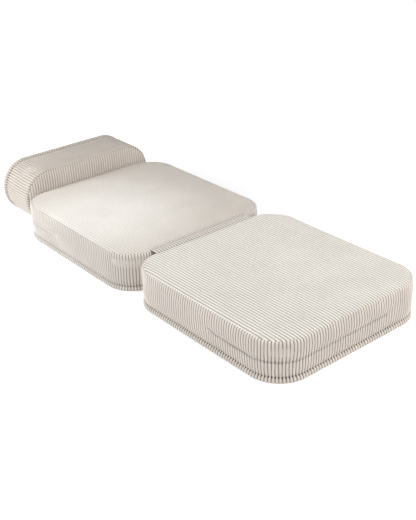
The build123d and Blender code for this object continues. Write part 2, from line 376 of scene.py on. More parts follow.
# %% [markdown]
# ## The puffing
# The covers are stretched over foam that is a little too large for them. That tension is
# what gives each panel its crown and its softly drawn seams. Cloth simulation makes it best:
# a coarse sheet for each panel, pinned along its seams, is blown outwards by pressure for
# twenty steps. How far a point may move is capped, as foam caps it. The fine ribbed cloth
# then takes its displacement from the coarse sheet, so the simulation stays short.

# %% Make a grid of cloth and place its points
def finished(bm, name):
    """A mesh of what was drawn in bm."""
    mesh = bpy.data.meshes.new(name)
    bm.to_mesh(mesh)
    bm.free()
    return mesh


def read_points(mesh, what="co"):
    """The place of each point, or its normal."""
    points = np.empty(len(mesh.vertices) * 3)
    mesh.vertices.foreach_get(what, points)
    return points.reshape(-1, 3)


def place_points(mesh, points):
    mesh.vertices.foreach_set("co", points.astype(np.float32).ravel())
    mesh.update()


def grid_mesh(name, columns, rows):
    """A flat grid, with the column and row of each of its points."""
    bm = bmesh.new()
    bmesh.ops.create_grid(bm, x_segments=columns - 1, y_segments=rows - 1, size=0.5)
    mesh = finished(bm, name)
    x, y, _ = read_points(mesh).T
    column = np.rint((x + 0.5) * (columns - 1)).astype(int)
    row = np.rint((0.5 - y) * (rows - 1)).astype(int)
    return mesh, column, row


def shown_object(mesh):
    """An object of the scene, with the name of its mesh."""
    piece = bpy.data.objects.new(mesh.name, mesh)
    bpy.context.scene.collection.objects.link(piece)
    return piece


# %% [markdown]
# The top panel's points are laid in columns that run straight from foot to head, as its ribs
# do. Each column is as long as the outline is there, so the panel ends on its curved seam.
# The side sheet's columns stand upright round the outline, and the zip line is pinned too.

# %% Lay out the coarse sheets
top_columns = 40
top_rows = 44
side_columns = 120
side_rows = 12
pinned_beside_zip = 0.006


def edge_of_top(cushion, x):
    """Half the length of the top panel at a distance from its centre line."""
    corner = cushion.corner - seam_inset
    across = np.clip(np.abs(x) - (cushion.half_width - cushion.corner), 0, corner)
    return cushion.half_length - cushion.corner + np.sqrt(corner**2 - across**2)


def crowned(cushion, x, y):
    """The top before the puffing, with a gentle rise from the seam."""
    depth = np.clip(cushion.depth(x, y, seam_inset) / crown_reach, 0, 1)
    return cushion.rim + start_crown * (1 - (1 - depth) ** 2)


def top_cage(cushion):
    mesh, column, row = grid_mesh(f"{cushion.name}_top_cage", top_columns, top_rows)
    x = (cushion.half_width - seam_inset) * (2 * column / (top_columns - 1) - 1)
    y = edge_of_top(cushion, x) * (1 - 2 * row / (top_rows - 1))
    place_points(mesh, np.column_stack([x, y, crowned(cushion, x, y)]))
    seam = (row == 0) | (row == top_rows - 1) | (column == 0) | (column == top_columns - 1)
    return shown_object(mesh), column, row, seam


def side_cage(cushion):
    mesh, column, row = grid_mesh(f"{cushion.name}_side_cage", side_columns + 1, side_rows)
    along = cushion.round * column / side_columns
    signed = np.where(along > cushion.round / 2, along - cushion.round, along)
    heights, way, _ = way_down(cushion)
    height = np.interp(row / (side_rows - 1), way, heights)
    outset = outset_at(cushion, signed, height)
    x, y, out_x, out_y = cushion.outline(along)
    place_points(mesh, np.column_stack([x + out_x * outset, y + out_y * outset, height]))
    pinned = (row == 0) | (row == side_rows - 1)
    lane = zips.get(cushion.name)
    if lane is not None:
        by_the_zip = np.abs(height - band_joint) < pinned_beside_zip
        pinned |= (lane.inside(signed, end_margin) > 0.5) & by_the_zip
    return shown_object(mesh), column, row, pinned


# %% Blow the coarse sheets outwards
puff_frames = 20
top_cap = 0.0022
side_cap = 0.0032
puff_settings = {
    "quality": 6,
    "mass": 0.2,
    "tension_stiffness": 12,
    "compression_stiffness": 12,
    "shear_stiffness": 6,
    "bending_stiffness": 0.4,
    "use_pressure": True,
    "uniform_pressure_force": 4,
}


def add_cloth(cage, pinned):
    group = cage.vertex_groups.new(name="seams")
    group.add(np.flatnonzero(pinned).tolist(), 1.0, "REPLACE")
    cloth = cage.modifiers.new("puffing", "CLOTH")
    for key, value in puff_settings.items():
        setattr(cloth.settings, key, value)
    cloth.settings.effector_weights.gravity = 0
    cloth.settings.vertex_group_mass = group.name
    cloth.point_cache.frame_start = 1
    cloth.point_cache.frame_end = puff_frames


def capped(moved, cap):
    far = np.linalg.norm(moved, axis=1, keepdims=True)
    return moved * np.minimum(1, cap / np.maximum(far, 1e-9))


def puffed():
    """The displacement of each coarse sheet, as a table of rows and columns."""
    cages = {}
    for cushion in cushions:
        for part, make_cage, cap in (("top", top_cage, top_cap), ("side", side_cage, side_cap)):
            cage, column, row, pinned = make_cage(cushion)
            add_cloth(cage, pinned)
            cages[cushion.name, part] = (cage, column, row, cap)
    for step in range(1, puff_frames + 1):
        bpy.context.scene.frame_set(step)
    graph = bpy.context.evaluated_depsgraph_get()
    tables = {}
    for key, (cage, column, row, cap) in cages.items():
        moved = read_points(cage.evaluated_get(graph).data) - read_points(cage.data)
        tables[key] = np.zeros((row.max() + 1, column.max() + 1, 3))
        tables[key][row, column] = capped(moved, cap)
        print(key, "moved by up to", round(float(np.abs(moved).max()) * 1000, 1), "mm before the cap")
    for cage, *_ in cages.values():
        bpy.data.objects.remove(cage)
    bpy.context.scene.frame_set(1)
    return tables


puff = puffed()


def taken_from(table, row, column):
    """The displacement at places between the points of a coarse sheet."""
    row = np.clip(row, 0, table.shape[0] - 1.001)
    column = np.clip(column, 0, table.shape[1] - 1.001)
    r, c = row.astype(int), column.astype(int)
    down, right = (row - r)[..., None], (column - c)[..., None]
    upper = table[r, c] * (1 - right) + table[r, c + 1] * right
    lower = table[r + 1, c] * (1 - right) + table[r + 1, c + 1] * right
    return upper * (1 - down) + lower * down


# %% [markdown]
# Nothing sewn is quite even. A smooth field that never repeats on one cushion moves the ribs
# a millimetre to and fro, and lets the panels swell a little more here than there.

# %% Let the cloth wander
seeds = {"front": 0.13, "middle": 0.57, "bolster": 0.81}
side_wander = 0.0016
top_wander = 0.0006
unevenness = 0.0008
seam_dip = 0.0013
# strength of the painted shade in each cushion's valley pockets
valley_pocket_shade = {"front": 0.95, "middle": 0.3, "bolster": 0.5}
dip_reach = 0.003
ruck_place = (0.01, -0.012)  # middle of the rucked patch: headwards from the end of the zip, and up
ruck_half = (0.03, 0.05, 0.03)  # its half sizes across, along and up
end_lead, end_fade = 0.012, 0.03  # where a seam line sets in near the straight ends, and how slowly


def drift(x, y, z, seed):
    """A field between about -1 and 1, made of waves that are from 4 to 50 centimetres long."""
    tau = math.tau
    broad = np.sin(tau * (x / 0.31 + y / 0.47 + seed)) * np.cos(tau * (y / 0.29 - z / 0.23 + 1.7 * seed))
    medium = np.sin(tau * (x / 0.127 - y / 0.151 + z / 0.19 + 2.3 * seed))
    narrow = np.sin(tau * (y / 0.071 + x / 0.083 - z / 0.11 + 3.1 * seed))
    fine = np.sin(tau * (y / 0.037 - x / 0.043 + z / 0.052 + 4.7 * seed)) * np.cos(tau * (x + y) / 0.19)
    return (broad + 0.6 * medium + 0.4 * narrow + 0.35 * fine) / 1.7


def wander(cushion, x, y, z, shift=0):
    return drift(x, y, z, seeds[cushion.name] + shift)


def crushed(cushion, x, y, z):
    """0 on fresh cloth, up to 1 where the cover is rucked beside the end of its zip."""
    lane = zips.get(cushion.name)
    if lane is None:
        return 0 * x
    end_x, end_y, _, _ = cushion.outline(lane.start)
    ahead, above = y - end_y - ruck_place[0], z - band_joint - ruck_place[1]
    far = (ahead / ruck_half[1]) ** 2 + (above / ruck_half[2]) ** 2
    return np.exp(-far) * (x < 0) * (np.abs(x - end_x) < ruck_half[0])


def off_the_ends(cushion, x):
    """0 on the straight ends, where the ribs run over the edge, and 1 on the corners and sides."""
    return ease((np.abs(x) - (cushion.half_width - cushion.corner) + end_lead) / end_fade)


# %% [markdown]
# A piece of cover is made flat, as it is cut: a grid whose columns are the ribs. Its UV map
# counts the ribs in one direction and measures metres in the other, so the finish can follow
# the cloth. A second map says how near a row of stitching is, where the grooves are drawn in, and so how much
# painted shade darkens them.
# Then its points are laid on the cushion, and it gets the thickness of the cloth.

# %% Turn a table of points into a piece of cloth
def cloth_piece(name, points, rib_count, length, thickness=cloth_thickness, sewn=0):
    """Cloth through a table of points, rows by columns. The other tables are its two UV maps."""
    rows, columns = points.shape[:2]
    mesh, column, row = grid_mesh(name, columns, rows)
    place_points(mesh, points[row, column])
    corners = np.empty(len(mesh.loops), np.int32)
    mesh.loops.foreach_get("vertex_index", corners)
    for uv, tables in (("ribs", (rib_count, length)), ("sewn", (sewn, 0))):
        flat = [np.broadcast_to(table, (rows, columns))[row, column][corners] for table in tables]
        mesh.uv_layers.new(name=uv).data.foreach_set("uv", np.column_stack(flat).astype(np.float32).ravel())
    return thicken(mesh, thickness)


def baked(mesh, kind, **settings):
    """The mesh as one modifier leaves it."""
    holder = shown_object(mesh)
    modifier = holder.modifiers.new(kind, kind)
    for key, value in settings.items():
        setattr(modifier, key, value)
    graph = bpy.context.evaluated_depsgraph_get()
    result, name = bpy.data.meshes.new_from_object(holder.evaluated_get(graph)), mesh.name
    bpy.data.objects.remove(holder)
    bpy.data.meshes.remove(mesh)
    result.name = name
    return result


def thicken(mesh, thickness):
    """Closes a loop of cloth where its ends meet, and gives it two faces and a rim."""
    bm = bmesh.new()
    bm.from_mesh(mesh)
    bmesh.ops.remove_doubles(bm, verts=bm.verts, dist=1e-6)
    for edge in bm.edges:
        edge.smooth = not edge.is_boundary
    bm.to_mesh(mesh)
    bm.free()
    thick = baked(mesh, "SOLIDIFY", thickness=thickness, offset=-1)
    thick.shade_smooth()
    return thick


def placed(mesh, cushion):
    """Moves a mesh from the cushion's own frame to its real place, and shows it."""
    turn = Matrix.Scale(-1, 4, (0, 1, 0)) if cushion.mirrored else Matrix.Identity(4)
    mesh.transform(cushion.place @ turn)
    if cushion.mirrored:
        mesh.flip_normals()
    mesh.update()
    return shown_object(mesh)


def dress(piece, body, material, slot, *replaced, bends_from=None):
    """Gives a finished piece its material and puts it on its body, or, where it lies between two bodies,
    leaves it in place on neither, and hides the nodes that it stands for.
    """
    piece.data.materials.clear()
    piece.data.materials.append(material)
    if bends_from:
        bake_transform(piece)
    else:
        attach(piece, body)
    if replaced:
        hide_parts(*replaced)
    return piece


# %% [markdown]
# ## The finishes
# The corduroy is one cloth in seven close shades. The first is its own colour, and the other six
# are copies, some lighter, some darker and one cooler, made for their panels as painted light and
# shade. The groove is darker and warmer than the rib, because little light gets down to the
# backing and the pile there is thin. The UV map counts the ribs, so the fraction of U says where a
# point lies between two grooves. The pile is fine noise along the rib, and broad soft patches show
# where it was brushed another way. Beside a row of stitching the thread pulls each groove down into
# a small pocket, and painted shade makes the pocket dark. The middle cushion's top is a lighter
# copy with lighter grooves, as painted light, and it darkens softly away from a place left of its
# centre, as a painted falloff of light. The bolster's cloth is a darker copy, as painted shade.

# %% Start a finish
def paint(red, green, blue):
    """A colour on the screen, from 0 to 255, as the linear colour that a shader takes."""
    values = [v / 255 for v in (red, green, blue)]
    return (*[v / 12.92 if v <= 0.04045 else ((v + 0.055) / 1.055) ** 2.4 for v in values], 1)


class Wiring:
    """Short ways to add and join the nodes of a material or of the world."""

    def __init__(self, tree):
        self.nodes, self.links = tree.nodes, tree.links

    def join(self, output, entry):
        self.links.new(output, entry)

    def add(self, kind, entries=(), **settings):
        """A new node. entries gives its inputs: for each a value, or the output that feeds it."""
        node = self.nodes.new(kind)
        for key, value in settings.items():
            setattr(node, key, value)
        for key, value in dict(entries).items():
            if isinstance(value, bpy.types.NodeSocket):
                self.join(value, node.inputs[key])
            else:
                node.inputs[key].default_value = value
        return node

    def math(self, operation, *values):
        return self.add("ShaderNodeMath", enumerate(values), operation=operation).outputs[0]

    def fade(self, value, low, high, to_low=0.0, to_high=1.0):
        """A smooth change from to_low, where the value is low, to to_high, where it is high."""
        entries = {"Value": value, "From Min": low, "From Max": high, "To Min": to_low, "To Max": to_high}
        return self.add("ShaderNodeMapRange", entries, interpolation_type="SMOOTHSTEP").outputs["Result"]

    def seen(self):
        """1 for what the camera sees, also in a mirror or through glass, and 0 for the lighting."""
        rays = self.add("ShaderNodeLightPath").outputs
        looked_at = self.math("MAXIMUM", rays["Is Camera Ray"], rays["Is Glossy Ray"])
        return self.math("MAXIMUM", looked_at, rays["Is Transmission Ray"])


class Finish(Wiring):
    """A material, and the nodes that most finishes need."""

    def __init__(self, name, roughness, **constants):
        self.material = bpy.data.materials.new(name)
        self.material.use_nodes = True
        super().__init__(self.material.node_tree)
        self.shader = self.nodes["Principled BSDF"]
        for socket, value in {"Roughness": roughness, **constants}.items():
            self.shader.inputs[socket.replace("_", " ")].default_value = value

    def place(self, scale=(1, 1, 1), uv=None):
        """Object coordinates, or a UV map, at a scale."""
        if uv:
            source = self.add("ShaderNodeUVMap", uv_map=uv).outputs["UV"]
        else:
            source = self.add("ShaderNodeTexCoord").outputs["Object"]
        return self.add("ShaderNodeMapping", {"Vector": source, "Scale": scale}).outputs["Vector"]

    def first_of(self, uv):
        """The first number of a UV map."""
        return self.add("ShaderNodeSeparateXYZ", {"Vector": self.place(uv=uv)}).outputs["X"]

    def noise(self, place, scale, detail=2.0, rough=0.5):
        entries = {"Vector": place, "Scale": scale, "Detail": detail, "Roughness": rough}
        return self.add("ShaderNodeTexNoise", entries).outputs["Fac"]

    def ramp(self, value, *stops):
        """A colour ramp through stops, each a place and a colour."""
        node = self.add("ShaderNodeValToRGB", {"Fac": value})
        elements = node.color_ramp.elements
        while len(elements) < len(stops):
            elements.new(0.5)
        for element, (place, colour) in zip(elements, stops):
            element.position = place
            element.color = colour
        return node.outputs["Color"]

    def blend(self, kind, amount, first, second):
        entries = {"Factor": amount, "A": first, "B": second}
        return self.add("ShaderNodeMix", entries, data_type="RGBA", blend_type=kind).outputs["Result"]

    def colour(self, output):
        self.join(output, self.shader.inputs["Base Color"])

    def bump(self, height, distance, strength, **before):
        """Relief from a height, on top of the Normal before it."""
        entries = {"Height": height, "Distance": distance, "Strength": strength, **before}
        normal = self.add("ShaderNodeBump", entries).outputs["Normal"]
        self.join(normal, self.shader.inputs["Normal"])
        return normal


# %% Corduroy
pocket_shade_share = 0.30  # of the groove's brightness, left in a stitched pocket as painted shade


def grey(value):
    return (value, value, value, 1)


def light_falloff_amount(cloth, centre, reach):
    """0 round a centre on the cushion and 1 at the reach from it, with a soft uneven edge."""
    uneven = cloth.math("MULTIPLY_ADD", cloth.noise(cloth.place(), 5.0), 0.3, -0.15)
    ends = {0: cloth.place((1, 1, 0)), 1: (*centre, 0)}
    away = cloth.add("ShaderNodeVectorMath", ends, operation="DISTANCE").outputs["Value"]
    return cloth.fade(cloth.math("MULTIPLY_ADD", away, 1 / reach, uneven), 0.17, 1.0)


def corduroy(name, rib, flank, groove, patch, light_falloff=None):
    """rib, flank and groove are colours on the screen, and patch is how dark the patches are.

    light_falloff is the centre, reach and shade of a painted falloff of light, darker away from the centre.
    """
    rib, flank, groove = paint(*rib), paint(*flank), paint(*groove)
    pocket = (*[pocket_shade_share * v for v in groove[:3]], 1)
    cloth = Finish(name, 0.86, Sheen_Weight=0.22, Sheen_Roughness=0.45)
    phase = cloth.math("FRACT", cloth.first_of("ribs"))
    off_centre = cloth.math("ABSOLUTE", cloth.math("MULTIPLY_ADD", phase, 2.0, -1.0))
    pile = cloth.noise(cloth.place((rib_pitch * 2600, 700, 1), uv="ribs"), 1.0, 3.0, 0.6)
    ragged = cloth.math("ADD", off_centre, cloth.math("MULTIPLY_ADD", pile, 0.22, -0.11))
    stripe = cloth.ramp(ragged, (0.0, rib), (0.45, rib), (0.76, flank), (0.97, groove))
    # painted shade: near stitches the grooves take the dark pocket colour
    pocket_shade_amount = cloth.math("MULTIPLY", cloth.first_of("sewn"), cloth.fade(ragged, 0.30, 0.80))
    stripe = cloth.blend("MIX", pocket_shade_amount, stripe, pocket)
    tufts = cloth.ramp(pile, (0.25, grey(0.90)), (0.75, grey(1.0)))
    patches = cloth.noise(cloth.place(), 7.0, 3.0, 0.55)
    brushed = cloth.ramp(patches, (0.35, grey(1 - patch)), (0.65, grey(1.0)))
    coloured = cloth.blend("MULTIPLY", 1.0, cloth.blend("MULTIPLY", 1.0, stripe, tufts), brushed)
    # painted falloff of light: the colour darkens away from a centre
    if light_falloff:
        centre, reach, shade = light_falloff
        coloured = cloth.blend("MULTIPLY", light_falloff_amount(cloth, centre, reach), coloured, shade)
    cloth.colour(coloured)
    fibre = cloth.bump(pile, 0.0004, 0.7)
    cut_lines = cloth.noise(cloth.place((rib_pitch * 900, 2400, 1), uv="ribs"), 1.0, 1.0)
    cloth.bump(cut_lines, 0.00025, 0.5, Normal=fibre)
    return cloth.material


# The first is the cloth's own colour. The others are copies for their panels, some lighter, some darker and
# one cooler: painted light and shade.
cushion_cloth = corduroy("cushion_corduroy", (250, 245, 238), (221, 207, 192), (143, 119, 97), 0.05)
front_top_tinted_cloth = corduroy("top_corduroy", (247, 246, 240), (218, 208, 194), (140, 119, 98), 0.05)
middle_band_shaded_cloth = corduroy("middle_corduroy", (236, 231, 225), (208, 198, 187), (142, 125, 109), 0.07)
# painted falloff of light on the middle cushion's top: full colour left of its centre, darker towards its
# edges
light_falloff_from = ((-0.14, 0.25), 0.43, (0.755, 0.725, 0.695, 1))
middle_top_lit_cloth = corduroy(
    "middle_top_lit_corduroy", (252, 249, 244), (243, 237, 228), (216, 207, 196), 0.04, light_falloff_from
)
hinge_shaded_cloth = corduroy("hinge_corduroy", (228, 222, 214), (204, 194, 182), (130, 113, 96), 0.05)
bolster_band_shaded_cloth = corduroy("bolster_corduroy", (219, 211, 202), (199, 189, 176), (167, 153, 137), 0.07)
bolster_front_shaded_cloth = corduroy("bolster_front_shaded_corduroy", (229, 221, 213), (208, 198, 186), (174, 159, 143), 0.06)


# %% [markdown]
# The other cloths are plain weaves. Two sets of fine bands cross at right angles, one for each
# direction of thread. The larger of the two heights at a point is the thread on top there.
# The foam is cut from a block, so its surface is open cells of many sizes.

# %% Plain weave, foam, tape, coil and enamel
def plain_weave(name, light, dark, thread):
    """A plain weave whose threads are thread metres apart, on object coordinates."""
    cloth = Finish(name, 0.9, Sheen_Weight=0.1)
    place = cloth.place()
    entries = {"Vector": place, "Scale": math.pi / 10 / thread, "Distortion": 0.4}
    threads = [cloth.add("ShaderNodeTexWave", entries, bands_direction=way) for way in ("X", "Y")]
    weave = cloth.math("MAXIMUM", *[node.outputs["Fac"] for node in threads])
    slub = cloth.noise(place, 60.0, 4.0)
    worn = cloth.math("MULTIPLY_ADD", slub, 0.5, cloth.math("MULTIPLY", weave, 0.5))
    cloth.colour(cloth.ramp(worn, (0.2, dark), (0.7, light)))
    cloth.bump(weave, thread * 0.3, 0.5)
    return cloth.material


def open_foam():
    foam = Finish("open_cell_foam", 0.95)
    entries = {"Vector": foam.place(), "Scale": 700}
    cells = foam.add("ShaderNodeTexVoronoi", entries, feature="DISTANCE_TO_EDGE").outputs["Distance"]
    tint = foam.noise(foam.place(), 9.0, 4.0)
    mixed = foam.math("MULTIPLY_ADD", tint, 0.5, foam.math("MULTIPLY", cells, 1.2))
    foam.colour(foam.ramp(mixed, (0.15, paint(226, 214, 176)), (0.7, paint(246, 239, 212))))
    foam.bump(cells, 0.0006, 0.8)
    return foam.material


def nylon(name, light, dark):
    """Moulded nylon: smooth and slightly glossy, a little darker where it is handled."""
    plastic = Finish(name, 0.38, Coat_Weight=0.15)
    wear = plastic.noise(plastic.place(), 220.0, 4.0)
    plastic.colour(plastic.ramp(wear, (0.3, dark), (0.65, light)))
    plastic.bump(wear, 0.00005, 0.5)
    return plastic.material


def enamel():
    """Satin paint on cast metal, with the metal just showing through in fine specks."""
    metal = Finish("zip_enamel", 0.34, Coat_Weight=0.3, Coat_Roughness=0.2)
    specks = metal.noise(metal.place(), 900.0, 5.0, 0.7)
    metal.colour(metal.ramp(specks, (0.28, paint(150, 144, 134)), (0.36, paint(232, 228, 221))))
    metal.bump(metal.noise(metal.place(), 1500.0), 0.00004, 0.6)
    return metal.material


base_weave = plain_weave("base_weave", paint(233, 226, 216), paint(205, 194, 180), 0.0011)
liner_weave = plain_weave("liner_weave", paint(246, 245, 241), paint(226, 224, 218), 0.0006)
tape_weave = plain_weave("zip_tape_weave", paint(250, 247, 242), paint(236, 230, 220), 0.0007)
foam_block_cells = open_foam()
coil_nylon = nylon("zip_coil_nylon", paint(250, 247, 241), paint(234, 228, 219))
zip_enamel = enamel()
print("finishes:", len(bpy.data.materials))


# %% [markdown]
# ## The top panels
# The top panel is a single cut of corduroy. At the foot and head ends its ribs run on over the
# edge into the ribs of the band. On the long sides and round the corners they end on the seam,
# which is sewn down and makes a fine line. The dip and the fading of the ribs make that line, with painted
# shade in the grooves along it.

# %% Lay the ribbed top on each cushion
edge_row_share = (0, 0.005, 0.014, 0.03, 0.055, 0.09, 0.14, 0.2, 0.28, 0.37, 0.47, 0.58, 0.69, 0.8, 0.9, 1)
fold_tuck = 0.0026  # how far the band sinks under the hinge strip
fold_zone, fold_fade = 0.03, 0.01  # where the strip may cover the edge, from the end inwards
strip_past, strip_fade = 0.008, 0.012  # how far it runs on past the straight end
strip_reach = 0.009  # how far from the fold its stitching draws the top in
flattened = 0.75  # of a rib, lost on a seam
calm_reach = 0.02  # over which the wandering dies away towards a seam
top_share = 0.6  # of the unevenness, on the tops


def at_the_fold(cushion, x, y):
    """1 on the edge where the hinge strip between the lying cushions covers the band."""
    if cushion is bolster:
        return 0 * x
    straight = cushion.half_width - cushion.corner
    near_end = ease((y - cushion.half_length + fold_zone) / fold_fade)
    return ease((straight + strip_past - np.abs(x)) / strip_fade) * near_end


def top_points(cushion):
    """The points of the ribbed top, its UV map, and the painted shade of its grooves at the seam and by the
    hinge strip.
    """
    half = cushion.half_width - seam_inset
    share = np.array(edge_row_share)
    rows = np.concatenate([1 - share, share[-2::-1] - 1])[:, None]
    x = rib_columns(-half, half, cushion.pitch) + 0 * rows
    edge = edge_of_top(cushion, x)
    y = edge * rows
    depth = cushion.depth(x, y, seam_inset)
    calm = ease(depth / calm_reach)
    height = crowned(cushion, x, y)
    height += unevenness * top_share * wander(cushion, x, y, height, 0.4) * calm
    row, column = (1 - y / edge) / 2 * (top_rows - 1), (x / half + 1) / 2 * (top_columns - 1)
    at_seam = beside(np.maximum(depth, 0), dip_reach) * off_the_ends(cushion, x)
    ribs = cushion.rib_count(x)
    rib = rib_form(ribs) * rib_height / 2 * (1 - flattened * at_seam)
    points = np.stack([x, y, height + rib - seam_dip * at_seam], axis=2)
    points += taken_from(puff[cushion.name, "top"], row, column)
    points[:, :, 0] += top_wander * wander(cushion, x, y, height) * calm
    at_strip = at_the_fold(cushion, x, y) * beside(edge - y, strip_reach)
    return points, ribs, y, np.maximum(0.3 * at_seam, 0.6 * at_strip)


def make_top(cushion, node):
    points, ribs, length, sewn = top_points(cushion)
    piece = placed(cloth_piece(f"{node}_corduroy", points, ribs, length, sewn=sewn), cushion)
    highest = round(points[:, :, 2].max() * 1000, 2)
    print(piece.name, "quads:", len(piece.data.polygons), "highest point in mm:", highest)
    return piece


for cushion, node, cloth in (
    (front, "front_top_panel", front_top_tinted_cloth),
    (middle, "middle_top_panel", middle_top_lit_cloth),
    (bolster, "bolster_front_panel", bolster_front_shaded_cloth),
):
    dress(make_top(cushion, node), cushion.body, cloth, "corduroy", node)

# %% [markdown]
# ## The bands
# A band is a long strip whose ribs stand upright. Laid round the outline it takes the profile
# from above. Near the zip it is two strips, whose edges roll in over the coil, and elsewhere
# one. The pieces use the same columns and rows where they meet, so no gap opens between them.

# %% Lay a ribbed band round a cushion
roll_in_share = (0.35, 1)
roll_rise = 0.0003
roll_flattening = 0.15
pinch, pinch_reach = 0.75, 0.006  # how much of its ribs the cloth keeps at the zip
floor_gap = 0.0002
band_calm_reach = 0.025
tuck_reach = 0.012  # from the seam down, under the hinge strip
groove_bite, bite_reach = 1.3, 0.003  # how much deeper the grooves go beside the valley
ruck_slide, ruck_flattening = 0.0022, 0.55  # how far the ribs bend in the rucked patch, and shrink
ruck_waves = (0.05, 0.07)  # lengths of the bends upwards and along
seam_mark, valley_mark, zip_mark = 0.0016, 0.0024, 0.0030  # how far the painted shade in the grooves reaches beside each row of stitches
# how far below the top seam the painted shade beside the hinge strip reaches
strip_mark = 0.008
zip_line_shade_reach = 0.12  # from the corner of the zip, where the painted shade along the zip line is strongest


def resting(cushion, points):
    """Flattens the cloth where the cushion rests on the floor. The bolster rests on its long edge."""
    axis, floor = (1, -cushion.place.translation.z) if cushion is bolster else (2, 0)
    points[:, :, axis] = np.maximum(points[:, :, axis], floor + floor_gap)
    return points


def band_points(cushion, along, outset, height, rib, rolled):
    """The points of a ribbed band from its rows. rolled says how many first and last rows are rolled in."""
    flat = slice(rolled[0], len(height) - rolled[1])
    out_step, up_step = np.gradient(outset[flat], axis=0), np.gradient(height[flat], axis=0)
    far = np.hypot(out_step, up_step)
    normal_out, normal_up = [np.pad(v, (rolled, (0, 0)), "edge") for v in (-up_step / far, out_step / far)]
    x, y, out_x, out_y = cushion.outline(along)
    heights, way, whole = way_down(cushion)
    share = np.interp(height, heights[::-1], way[::-1])
    seam = share * whole
    base_x, base_y = x + out_x * outset, y + out_y * outset
    field = wander(cushion, base_x, base_y, height)
    rucked = crushed(cushion, base_x, base_y, height)
    calm = ease(seam / band_calm_reach) * ease((height - lip_height * 0.5) / calm_reach)
    at_seam = beside(seam, dip_reach) * off_the_ends(cushion, base_x)
    tuck = at_the_fold(cushion, base_x, base_y) * ease(1.5 - seam / tuck_reach)
    form = rib_form(cushion.rib_count(along)) + 0 * height
    form = np.where(form < 0, form * (1 + groove_bite * beside(height - lip_height, bite_reach)), form)
    kept = 1 - flattened * np.maximum(at_seam, tuck)
    rib = rib * form * rib_height / 2 * kept * (1 - ruck_flattening * rucked)
    lift = rib - seam_dip * at_seam - fold_tuck * tuck
    outwards = normal_out * lift + unevenness * wander(cushion, base_x, base_y, height, 0.37) * calm
    bent = np.sin(math.tau * (height / ruck_waves[0] + base_y / ruck_waves[1]))
    slide = (side_wander * field + ruck_slide * rucked * bent) * calm
    column = np.mod(along, cushion.round) / cushion.round * side_columns
    moved = taken_from(puff[cushion.name, "side"], share * (side_rows - 1), column)
    moved[:, :, 0] += base_x + out_x * outwards - out_y * slide
    moved[:, :, 1] += base_y + out_y * outwards + out_x * slide
    moved[:, :, 2] += height + normal_up * lift
    return resting(cushion, moved)


def rolled_edge(rows, depth, amount, towards):
    """Adds rows to a zipped band's edge, rolled in by a depth over the coil. towards is 1 upwards."""
    outset, height, rib = rows
    edge, level, last_rib = outset[-1], height[-1], rib[-1]
    for share in roll_in_share:
        outset = np.vstack([outset, edge - amount * depth * share])
        height = np.vstack([height, level + towards * roll_rise * amount * share])
        rib = np.vstack([rib, last_rib * (1 - roll_flattening * amount)])
    return outset, height, rib


def pocket_shade_near_stitches(cushion, along, height):
    """How much painted shade the grooves get near a row of stitches: the top seam, the zip line, the valley
    and the hinge strip.
    """
    x, y, _, _ = cushion.outline(along)
    top_seam = beside(cushion.rim - height, seam_mark) * (0.1 + 0.25 * off_the_ends(cushion, x))
    valley = valley_pocket_shade[cushion.name] * beside(height - lip_height, valley_mark)
    lane = zips.get(cushion.name)
    if lane is None:
        return np.maximum(top_seam, valley)
    zip_corner = lane.corner_start + cushion.corner * 0.8
    zip_line_shade = (0.3 + 0.45 * beside(along - zip_corner, zip_line_shade_reach)) * lane.inside(along, end_margin)
    zip_line = zip_line_shade * beside(height - band_joint, zip_mark)
    strip = 0.6 * at_the_fold(cushion, x, y) * (height > cushion.rim - strip_mark)
    return np.maximum(np.maximum(top_seam, valley), np.maximum(zip_line, strip))


def make_band(cushion, part, cloth, along, rows, rolled=(0, 0)):
    """A band of corduroy along part of the outline, or all of it, dressed for its node."""
    points = band_points(cushion, along, *rows, rolled)
    sewn = pocket_shade_near_stitches(cushion, along, rows[1])
    length = running_total(np.linalg.norm(np.diff(points, axis=0), axis=2).mean(axis=1))[:, None]
    node = f"{cushion.name}_{part}"
    mesh = cloth_piece(f"{node}_corduroy", points, cushion.rib_count(along), length, sewn=sewn)
    piece = placed(mesh, cushion)
    dress(piece, cushion.body, cloth, "corduroy", node)


def pinched(rows, amount):
    """Ribs flattened towards the zip line, which is the last row of the rows."""
    outset, height, rib = rows
    return outset, height, rib * (1 - (1 - pinch) * amount * beside(height - height[-1], pinch_reach))


def reversed_rows(rows):
    return tuple(table[::-1] for table in rows)


def zipped_bands(cushion, cloth):
    lane = zips[cushion.name]
    start, end = lane.start - end_margin, lane.end + end_margin
    along = rib_columns(start, end, cushion.pitch)
    gap = lane.half_gap(along)
    amount = lane.inside(along, slot_margin)
    beside_slider = lane.by_the_slider(along)
    depth = roll_depth + slider_roll * beside_slider
    upper = upper_rows(cushion, along, gap + rib_hang * beside_slider)
    upper = rolled_edge(pinched(upper, amount), depth, amount, 1)
    lower = reversed_rows(lower_rows(cushion, along, gap))
    lower = reversed_rows(rolled_edge(pinched(lower, amount), depth, amount, -1))
    extra = len(roll_in_share)
    make_band(cushion, "upper_band", cloth, along, upper, (0, extra))
    make_band(cushion, "lower_band", cloth, along, lower, (extra, 0))
    rest = rib_columns(end, start + cushion.round, cushion.pitch)
    both = zip(upper_rows(cushion, rest, 0 * rest), lower_rows(cushion, rest, 0 * rest))
    make_band(cushion, "side_band", cloth, rest, [np.vstack([above, below[1:]]) for above, below in both])


zipped_bands(front, cushion_cloth)
zipped_bands(middle, middle_band_shaded_cloth)
all_round = rib_columns(0, bolster.round, bolster.pitch)
for part, rows in (("front_band", upper_rows), ("back_band", lower_rows)):
    make_band(bolster, part, bolster_band_shaded_cloth, all_round, rows(bolster, all_round, 0 * all_round))


